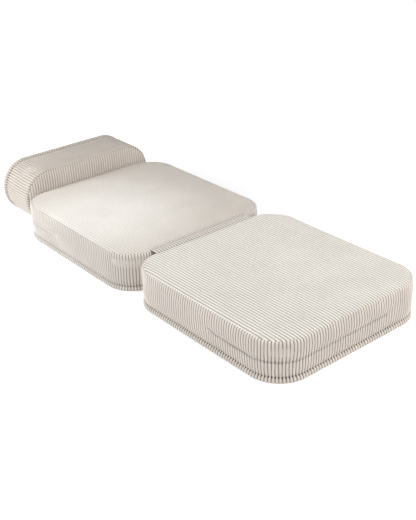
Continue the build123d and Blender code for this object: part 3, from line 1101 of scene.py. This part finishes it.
# %% [markdown]
# ## The cloth hinges
# A strip of the same corduroy is sewn over the gap between the two lying cushions, top edge to
# top edge. It arches over the gap, and its short ribs carry on those of the two tops. When
# the middle cushion folds over, the real strip bends; here it stays where it lies, on neither body.

# %% Sew the top strip
fold_low, fold_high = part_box("front_fold_strip")
_, middle_fold_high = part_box("middle_fold_strip")
fold_y = middle_of(fold_low.y, middle_fold_high.y)
strip_half = (middle_fold_high.y - fold_low.y) / 2
strip_sunk = 0.0012  # its sewn edges, below the top seam
strip_rise = 0.0048
strip_rib = 0.0011
strip_rows = 13
strip_droop = 0.0016  # how far its two ends hang lower
strip_wander = 0.0006
strip_bend_half = 0.0129  # how far from the fold its bending part reaches


def top_strip():
    columns = rib_columns(fold_low.x, fold_high.x, front.pitch)
    share = np.sin(np.linspace(1, -1, strip_rows) * math.pi / 2)[:, None] + 0 * columns
    x = columns + 0 * share
    y = fold_y + strip_half * share
    arch = np.sqrt(np.clip(1 - share**2, 0, 1))
    rib = strip_rib * rib_form(front.rib_count(x)) * (0.35 + 0.65 * arch)
    ends = ease((fold_high.x - np.abs(x)) / 0.006)
    height = front.rim - strip_sunk + strip_rise * arch + rib - strip_droop * (1 - ends)
    y = y + strip_wander * drift(x * 2, y, height, 0.3)
    # painted shade in the grooves near its two stitched edges
    sewn = 0.75 * beside(1 - np.abs(share), 0.16)
    points = np.stack([x, y, height], axis=2)
    return cloth_piece("fold_strip_corduroy", points, front.rib_count(x), strip_half * share, sewn=sewn)


strip = shown_object(top_strip())
bend = [(0, fold_y - side * strip_bend_half, fold_high.z) for side in (1, -1)]
two_bodies = ("front_cushion", "middle_cushion")
dress(strip, two_bodies, hinge_shaded_cloth, "corduroy", "front_fold_strip", "middle_fold_strip", bends_from=bend)

# %% [markdown]
# The bolster hangs on a second strip, low down at its front edge, out of sight. It is plain
# cloth. It leaves the middle cushion's base and climbs a little way up the bolster.

# %% Sew the base strip
strip_outwards = rows_of(0.007, 0.0063, 0.004, 0.001, -0.001, -0.003)  # places from the fold
strip_upwards = rows_of(0.0125, 0.0085, 0.0045, 0.0016, 0.0008, 0.0006)
base_bend = (-0.003, 0.0015)  # where its bend starts and ends, from the fold
thin_cloth = 0.0004


def base_strip():
    low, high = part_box("bolster_fold_strip")
    x = np.linspace(low.x, high.x, 60) + 0 * strip_outwards
    way = running_total(np.hypot(np.diff(strip_outwards[:, 0]), np.diff(strip_upwards[:, 0])))[:, None]
    points = np.stack([x, low.y + strip_outwards + 0 * x, strip_upwards + 0 * x], axis=2)
    piece = shown_object(cloth_piece("base_strip_cloth", points, x / rib_pitch, way, thin_cloth))
    return piece


lower_strip = base_strip()
hinge_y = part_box("bolster_fold_strip")[0].y
bend = [(0, hinge_y + out, 0) for out in base_bend]
two_bodies = ("middle_cushion", "bolster")
dress(lower_strip, two_bodies, base_weave, "corduroy", "bolster_fold_strip", bends_from=bend)

# %% [markdown]
# ## The base and back panels
# The base of each cushion, and the back of the bolster, is a plain flat panel inside the lip.
# Each starts as one square face. Its corners are rounded by a bevel, its rim is inset and
# turned up to meet the lip, and then it gets its thickness. The bolster's zip lies in its
# back panel, so a slot is cut there: four planes cut the face, and the strip between them goes.

# %% Cut a rounded face and make a panel of it
panel_level = 0.0018
panel_thickness = 0.0014
rim_width = 0.006
rim_steps = (0.0012, 0.0006)  # how far the rim is turned up at each of its two insets
bolster_slot = (0.160, 0.0042)


def rounded_face(bm, half_width, half_length, corner, height, facing=1):
    """One face with rounded corners, at a height, facing up or down."""
    bmesh.ops.create_grid(bm, x_segments=1, y_segments=1, size=1)
    bmesh.ops.scale(bm, vec=(half_width, half_length, 1), verts=bm.verts)
    bmesh.ops.translate(bm, vec=(0, 0, height), verts=bm.verts)
    bmesh.ops.bevel(
        bm,
        geom=bm.verts[:],
        offset=corner,
        offset_type="OFFSET",
        segments=14,
        profile=0.5,
        affect="VERTICES",
        material=-1,
    )
    if facing < 0:
        bmesh.ops.reverse_faces(bm, faces=bm.faces[:])
    bm.faces.ensure_lookup_table()
    return bm.faces[0]


def cut_slot(bm, half_length, half_width):
    """Cuts a slot through the one flat face."""
    for sign in (1, -1):
        for co, no in (((sign * half_length, 0, 0), (1, 0, 0)), ((0, sign * half_width, 0), (0, 1, 0))):
            near = [f for f in bm.faces if f.normal.z < -0.99]
            geom = near + list({e for f in near for e in f.edges}) + list({v for f in near for v in f.verts})
            bmesh.ops.bisect_plane(bm, geom=geom, plane_co=co, plane_no=no)
    inside = [f for f in bm.faces if max(abs(v.co.x) for v in f.verts) <= half_length + 1e-6]
    inside = [f for f in inside if max(abs(v.co.y) for v in f.verts) <= half_width + 1e-6]
    bmesh.ops.delete(bm, geom=inside, context="FACES")


def flat_panel(cushion, node, slot_size=None):
    outset = lip_flare - rim_width
    bm = bmesh.new()
    half_sizes = (cushion.half_width + outset, cushion.half_length + outset)
    face = rounded_face(bm, *half_sizes, cushion.corner + outset, panel_level, -1)
    for step in rim_steps:
        bmesh.ops.inset_region(bm, faces=[face], thickness=rim_width, depth=step, use_even_offset=True)
    if slot_size:
        cut_slot(bm, *slot_size)
    bmesh.ops.solidify(bm, geom=bm.faces[:], thickness=panel_thickness)
    piece = placed(finished(bm, f"{node}_cloth"), cushion)
    return dress(piece, cushion.body, base_weave, "base_cloth", node)


flat_panel(front, "front_base_panel")
flat_panel(middle, "middle_base_panel")
flat_panel(bolster, "bolster_back_panel", bolster_slot)


# %% [markdown]
# ## Inside the covers
# A block of foam fills each cushion, in a thin bag that lets the cover slide over it. Both
# follow the cover from inside: the block starts as a rounded face and is drawn up ring by
# ring, each ring pushed out or in like the cover beside it. The bag is the same form a little
# larger, remeshed finely enough to wrinkle, and given the thickness of its cloth.

# %% Draw up a block ring by ring
foam_inset = 0.0056  # inside the cover
liner_inset = 0.0044
liner_thickness = 0.0005
liner_face = 0.009  # size of its faces
wrinkle_height, wrinkle_base = 0.00035, 0.0003
crown_rise = 0.005
crown_width = 0.078


def block_levels(cushion, inset):
    """Heights and outsets of the filling, from its foot to the middle of its crown."""
    top = cushion.rim - inset
    levels = [(inset, -valley_inset), (lip_height, -valley_inset), (0.03, -0.005)]
    levels += [(band_joint, -joint_inset), (band_joint + 0.016, 0)]
    for turn in (0, 0.2, 0.4, 0.6, 0.8, 1):
        height = top - shoulder_rise * (1 - math.sin(turn * math.pi / 2))
        levels.append((height, -seam_inset * (1 - math.cos(turn * math.pi / 2))))
    for share in (0.05, 0.15, 0.3, 0.5, 0.75, 1):
        height = top + crown_rise * math.sqrt(1 - (1 - share) ** 2)
        levels.append((height, -seam_inset - share * crown_width))
    return [(height, outset - inset) for height, outset in levels]


def drawn_up(cushion, name, inset):
    """Lofts a closed block through rounded rings by extruding one face again and again."""
    bm = bmesh.new()
    (height, outset), *further = block_levels(cushion, inset)
    half = [cushion.half_width + outset, cushion.half_length + outset]
    face = rounded_face(bm, *half, cushion.corner + outset, height)
    for next_height, next_outset in further:
        raised = bmesh.ops.extrude_face_region(bm, geom=[face])
        verts = [part for part in raised["geom"] if isinstance(part, bmesh.types.BMVert)]
        face = next(part for part in raised["geom"] if isinstance(part, bmesh.types.BMFace))
        wide = [cushion.half_width + next_outset, cushion.half_length + next_outset]
        bmesh.ops.translate(bm, vec=(0, 0, next_height - height), verts=verts)
        bmesh.ops.scale(bm, vec=(wide[0] / half[0], wide[1] / half[1], 1), verts=verts)
        height, half = next_height, wide
    bmesh.ops.recalc_face_normals(bm, faces=bm.faces[:])
    return finished(bm, name)


def foam_block(cushion):
    mesh = drawn_up(cushion, f"{cushion.name}_foam_block", foam_inset)
    mesh.shade_smooth()
    piece = placed(mesh, cushion)
    return dress(piece, cushion.body, foam_block_cells, "foam", f"{cushion.name}_foam")


def liner_bag(cushion):
    """The bag round the foam, with the shallow wrinkles of a thin loose cloth."""
    mesh = drawn_up(cushion, f"{cushion.name}_liner_bag", liner_inset)
    mesh = baked(mesh, "REMESH", mode="VOXEL", voxel_size=liner_face)
    points, normals = read_points(mesh), read_points(mesh, "normal")
    x, y, z = points.T
    wrinkle = wrinkle_height * wander(cushion, x * 2, y * 2, z * 3)
    place_points(mesh, points + normals * (wrinkle[:, None] - wrinkle_base))
    bm = bmesh.new()
    bm.from_mesh(mesh)
    area = sum(f.calc_area() for f in bm.faces)
    bmesh.ops.solidify(bm, geom=bm.faces[:], thickness=liner_thickness)
    bm.to_mesh(mesh)
    bm.free()
    mesh.shade_smooth()
    piece = placed(mesh, cushion)
    return dress(piece, cushion.body, liner_weave, "liner_cloth", f"{cushion.name}_liner")


for cushion in cushions:
    foam_block(cushion)
    liner_bag(cushion)


# %% [markdown]
# ## The zips
# A nylon coil zip is a spring of teeth sewn along two tapes. At this size each tooth shows
# only as a small bar across the slot, so a tooth is a beveled bar of a few dozen faces, and
# neighbours lie a little to the left and right in turn. The tape is a flat strip behind them.

# %% Lay the tapes and the coils
tape_half = 0.0118
tape_outset = -0.0070
tooth_pitch = 0.0013
tooth_size = (0.00092, 0.0040, 0.0017)  # along the zip, across it, and thick
tooth_shift = 0.00035  # to the left and right in turn
tooth_rounding = 0.0003
behind_teeth = 0.0003  # from the middle of the tape to the teeth
back_tape_rise = 0.0019  # of the bolster's tape, from the middle of its teeth


def zip_tape(cushion, along, frame_of):
    """A strip of tape. frame_of gives its places from distances along and across it."""
    across = np.linspace(tape_half, -tape_half, 5)[:, None]
    points = frame_of(along + 0 * across, across + 0 * along)
    mesh = cloth_piece(f"{cushion.name}_zip_tape_strip", points, along / rib_pitch, across, thin_cloth)
    piece = placed(mesh, cushion)
    return dress(piece, cushion.body, tape_weave, "zip_tape", f"{cushion.name}_zip_tape")


def zip_coil(cushion, places):
    """A row of teeth. places holds, for each, its middle and the directions along, across and out."""
    bm = bmesh.new()
    for index, (tooth_middle, ahead, across, out) in enumerate(places):
        shift = tooth_shift * (1 if index % 2 else -1)
        turn = Matrix((ahead, across, out)).transposed().to_4x4()
        moved = Matrix.Translation(Vector(tooth_middle) + Vector(across) * shift)
        bmesh.ops.create_cube(bm, size=1, matrix=moved @ turn @ Matrix.Diagonal((*tooth_size, 1)))
    bmesh.ops.bevel(
        bm,
        geom=bm.edges[:],
        offset=tooth_rounding,
        segments=1,
        profile=0.5,
        affect="EDGES",
        material=-1,
        clamp_overlap=True,
    )
    mesh = finished(bm, f"{cushion.name}_zip_coil_teeth")
    mesh.shade_smooth()
    print(mesh.name, "teeth:", len(places))
    return dress(placed(mesh, cushion), cushion.body, coil_nylon, "zip_coil", f"{cushion.name}_zip_coil")


def band_zip(cushion):
    lane = zips[cushion.name]

    def frame_of(along, across):
        x, y, out_x, out_y = cushion.outline(along)
        return np.stack([x + out_x * tape_outset, y + out_y * tape_outset, band_joint + across], axis=2)

    zip_tape(cushion, np.linspace(lane.start, lane.end, 160), frame_of)
    teeth = cushion.outline(np.arange(lane.start + tooth_pitch, lane.end, tooth_pitch))
    seat = tape_outset + behind_teeth + tooth_size[2] / 2
    places = []
    for x, y, out_x, out_y in zip(*teeth):
        tooth_middle = (x + out_x * seat, y + out_y * seat, band_joint)
        places.append((tooth_middle, (-out_y, out_x, 0), (0, 0, 1), (out_x, out_y, 0)))
    zip_coil(cushion, places)


def back_zip():
    """The bolster's zip lies flat in its back panel."""
    low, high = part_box("bolster_zip_coil")
    tape_low, tape_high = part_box("bolster_zip_tape")
    seat = bolster.place.translation.y - middle_of(low.y, high.y)

    def frame_of(along, across):
        return np.stack([along, -across, 0 * along + seat + back_tape_rise], axis=2)

    zip_tape(bolster, np.linspace(tape_low.x, tape_high.x, 60), frame_of)
    along = np.arange(low.x + tooth_pitch, high.x - tooth_pitch / 2, tooth_pitch)
    zip_coil(bolster, [((a, 0, seat), (1, 0, 0), (0, -1, 0), (0, 0, -1)) for a in along])


band_zip(front)
band_zip(middle)
back_zip()

# %% [markdown]
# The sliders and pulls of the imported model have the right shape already, so they stay and
# only get their enamel.

# %% Enamel the sliders and pulls
metal_nodes = [name for name in nodes if name.endswith(("_zip_slider", "_zip_pull"))]
for name in metal_nodes:
    part = bpy.data.objects[name]
    part.data.materials.clear()
    part.data.materials.append(zip_enamel)
print("enamelled:", metal_nodes)

# %% [markdown]
# ## Floor, light and camera
# The floor and the background are white, as in a studio. For the camera only, the floor gets
# a little extra white, and more of it far away, so that it meets the background without a line
# and keeps its shadow. The light is soft and comes from six softboxes. The strongest hang over
# the foot end and in front of it, and a small one stands close on the left, by the middle cushion.

# %% Lay the floor
def white_floor():
    floor = Finish("studio_floor", 0.9, Specular_IOR_Level=0.0)
    speck = floor.noise(floor.place(), 3.0)
    floor.colour(floor.ramp(speck, (0.3, paint(243, 243, 243)), (0.7, paint(245, 245, 245))))
    floor.shader.inputs["Emission Color"].default_value = (1, 1, 1, 1)
    away = floor.add("ShaderNodeVectorMath", {0: floor.place()}, operation="LENGTH").outputs["Value"]
    # the extra white grows from 0.36 at half a metre to 0.9 at one and a half
    white = floor.math("MULTIPLY", floor.seen(), floor.fade(away, 0.5, 1.5, 0.36, 0.9))
    floor.join(white, floor.shader.inputs["Emission Strength"])
    return floor.material


bm = bmesh.new()
bmesh.ops.create_grid(bm, x_segments=1, y_segments=1, size=30)
floor_mesh = finished(bm, "floor")
floor_mesh.transform(Matrix.Translation((0, 0, cad_low[2])))
floor_mesh.materials.append(white_floor())
shown_object(floor_mesh)


# %% Light it
def lamp(name, place, size, power, colour):
    """A square softbox at a place, turned towards the bed."""
    light = bpy.data.lights.new(name, "AREA")
    light.shape = "SQUARE"
    light.size = size
    light.energy = power
    light.color = colour
    holder = bpy.data.objects.new(name, light)
    holder.location = place
    holder.rotation_euler = (Vector(place) - Vector((0, 0, 0.1))).to_track_quat("Z", "Y").to_euler()
    holder.visible_camera = False
    bpy.context.scene.collection.objects.link(holder)


day_white, warm_white = (0.97, 0.985, 1.0), (1.0, 0.955, 0.945)
softboxes = (
    ("left_back", (-1.7, 1.1, 1.0), 1.0, 9.5, day_white),
    ("left_front", (-1.7, -0.8, 1.0), 1.0, 7.4, warm_white),
    ("over_the_foot", (0.0, -0.5, 1.9), 1.0, 14.5, day_white),
    ("right_front", (1.5, -1.3, 1.0), 1.0, 12.0, warm_white),
    ("front", (0.2, -2.0, 1.2), 1.0, 9.5, warm_white),
    ("beside_the_bolster", (-0.9, 0.76, 0.52), 0.5, 4.2, day_white),
)
for softbox in softboxes:
    lamp(*softbox)

world = bpy.data.worlds.new("studio")
bpy.context.scene.world = world
world.use_nodes = True
surround = Wiring(world.node_tree)
background = surround.nodes["Background"].inputs
background["Color"].default_value = (1, 1, 1, 1)
surround.join(surround.fade(surround.seen(), 0.0, 1.0, 0.2, 1.0), background["Strength"])

# %% [markdown]
# The camera stands high in front of the foot end, to the left, where the photograph was taken.
# Its place and its lens were fitted to the edges of the cushions.

# %% Set the camera
yaw, pitch, roll = 0.67035, -0.47679, -0.03832
ahead = Vector((math.cos(pitch) * math.sin(yaw), math.cos(pitch) * math.cos(yaw), math.sin(pitch)))
level = Vector((math.cos(yaw), -math.sin(yaw), 0))
upright = level.cross(ahead)
camera_x = level * math.cos(roll) + upright * math.sin(roll)
camera_y = upright * math.cos(roll) - level * math.sin(roll)
turn = Matrix((camera_x, camera_y, -ahead)).transposed().to_4x4()
lens = bpy.data.cameras.new("view")
lens.lens = 61.78
lens.sensor_width = 36
lens.clip_end = 100
camera = bpy.data.objects.new("view", lens)
camera.matrix_world = Matrix.Translation((-1.59584, -2.12579, 1.36515)) @ turn
bpy.context.scene.collection.objects.link(camera)
bpy.context.scene.camera = camera
bpy.context.scene.view_settings.view_transform = "Standard"
